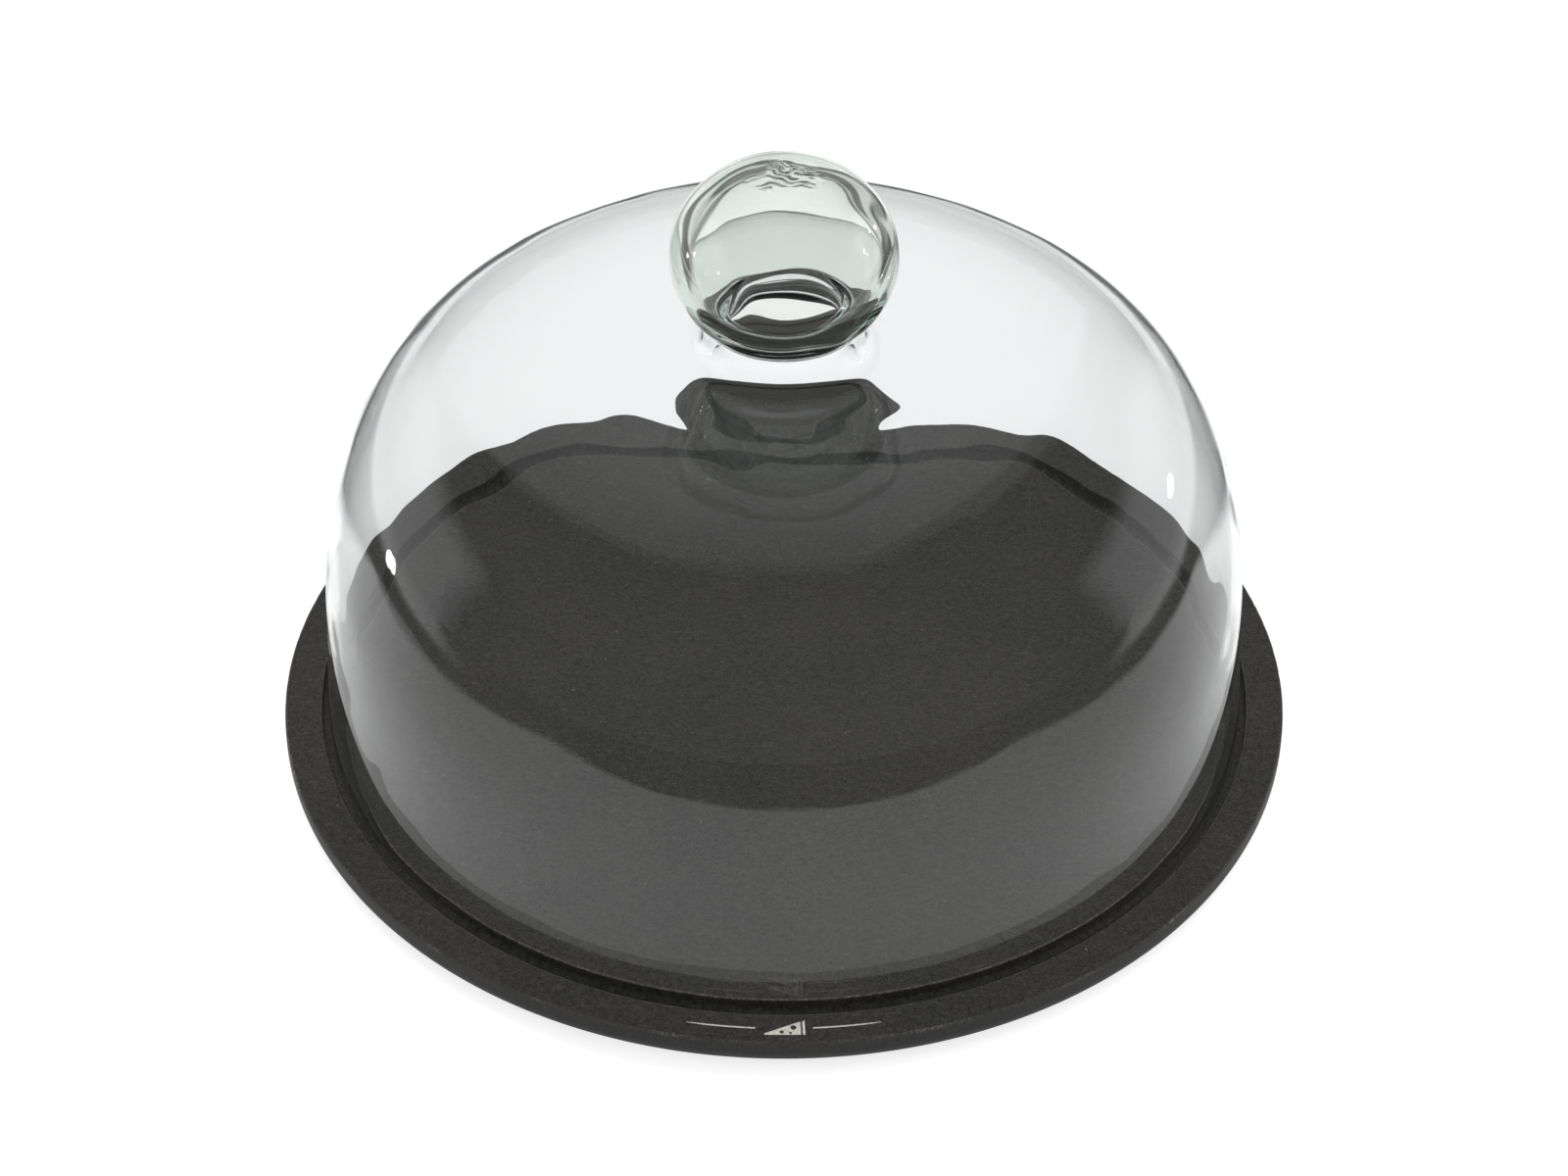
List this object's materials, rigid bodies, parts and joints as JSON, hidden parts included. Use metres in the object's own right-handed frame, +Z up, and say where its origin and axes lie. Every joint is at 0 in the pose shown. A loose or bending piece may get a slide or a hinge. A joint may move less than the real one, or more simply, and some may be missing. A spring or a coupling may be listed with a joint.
{
  "type": "cheese dome",
  "caption": "Round dark fibre serving board with a ring groove, covered by a clear blown glass bell with a hollow ball knob that lifts straight off.",
  "frame": {"origin": "centre of the board's flat underside, on the cover's axis", "axes": "+Z up along the board's and the cover's common axis, towards the ball knob; +X to the right and +Y away from a person in front"},
  "size_m": [0.3, 0.3, 0.1952],
  "materials": {
    "fibre_board": "matte",
    "clear_glass": "polished",
    "green_tint_glass": "polished"
  },
  "bodies": {
    "board": {"serving_board": "fibre_board"},
    "cover": {"glass_bell": "clear_glass", "ball_knob": "green_tint_glass"}
  },
  "joints": [
    {"name": "cover_lift", "type": "slide", "parent": "board", "child": "cover", "axis": [0, 0, 1], "range_m": [0, 0.25]}
  ]
}
